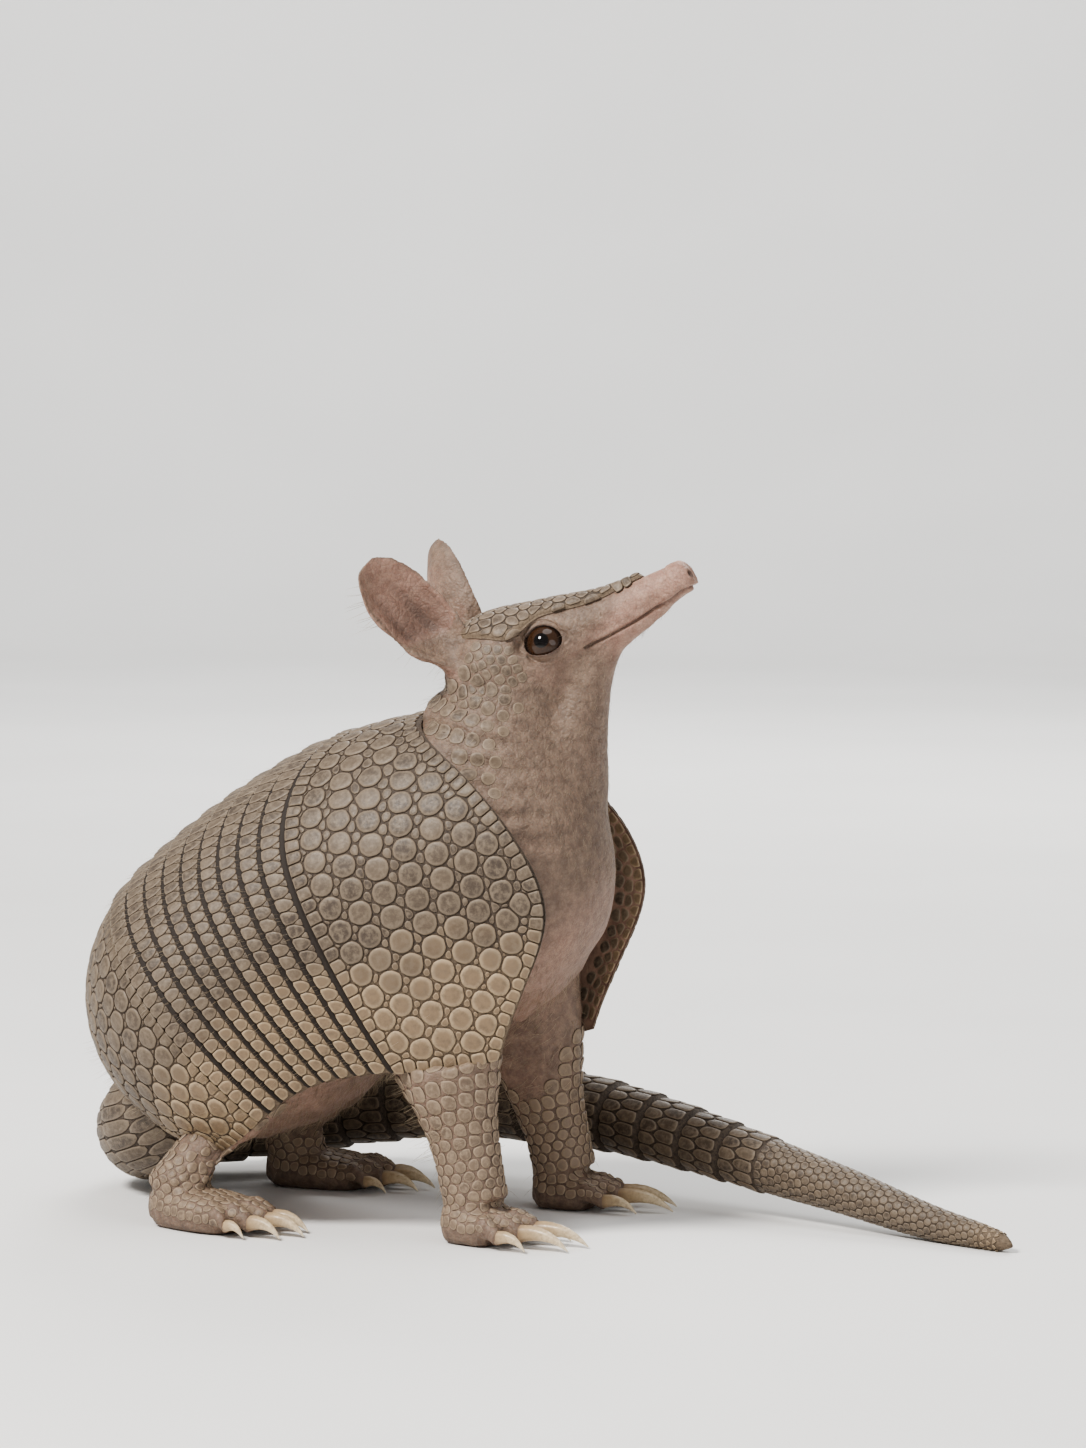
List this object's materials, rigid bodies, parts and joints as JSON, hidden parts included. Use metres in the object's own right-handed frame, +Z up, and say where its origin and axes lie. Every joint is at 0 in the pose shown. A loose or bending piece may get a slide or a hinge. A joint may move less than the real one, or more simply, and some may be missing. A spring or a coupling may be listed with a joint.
{
  "type": "nine-banded armadillo model",
  "caption": "Life-size armadillo standing with its head raised: banded carapace, long tapering snout, upright ears, clawed feet, and a ringed tail curled round its left side.",
  "frame": {"origin": "middle of the base of the whole animal's box, at floor level", "axes": "+X forward, the way the head points; +Y the animal's left, the side the tail lies on; +Z up; the floor is z = 0"},
  "size_m": [0.4378, 0.2114, 0.2949],
  "materials": {
    "armour": "horny scutes, brown-grey with paler seams, low sheen",
    "skin": "bare skin, pinkish tan, matte",
    "claw": "horn, low gloss",
    "eye": "wet, near black"
  },
  "bodies": {
    "root": {"trunk": "skin", "scapular_shield": "armour", "pelvic_shield": "armour", "band_1": "armour", "band_2": "armour", "band_3": "armour", "band_4": "armour", "band_5": "armour", "band_6": "armour", "band_7": "armour", "band_8": "armour", "band_9": "armour", "head": "skin", "jaw": "skin", "head_shield": "armour", "neck": "skin", "ear_left": "skin", "eye_left": "eye", "ear_right": "skin", "eye_right": "eye", "upper_leg_front_left": "skin", "lower_leg_front_left": "skin", "claw_front_left_1": "claw", "claw_front_left_2": "claw", "claw_front_left_3": "claw", "claw_front_left_4": "claw", "foot_front_left": "skin", "upper_leg_hind_left": "skin", "lower_leg_hind_left": "skin", "claw_hind_left_1": "claw", "claw_hind_left_2": "claw", "claw_hind_left_3": "claw", "claw_hind_left_4": "claw", "claw_hind_left_5": "claw", "foot_hind_left": "skin", "upper_leg_front_right": "skin", "lower_leg_front_right": "skin", "claw_front_right_1": "claw", "claw_front_right_2": "claw", "claw_front_right_3": "claw", "claw_front_right_4": "claw", "foot_front_right": "skin", "upper_leg_hind_right": "skin", "lower_leg_hind_right": "skin", "claw_hind_right_1": "claw", "claw_hind_right_2": "claw", "claw_hind_right_3": "claw", "claw_hind_right_4": "claw", "claw_hind_right_5": "claw", "foot_hind_right": "skin", "tail_1": "armour", "tail_2": "armour", "tail_3": "armour", "tail_4": "armour", "tail_5": "armour"}
  },
  "joints": []
}
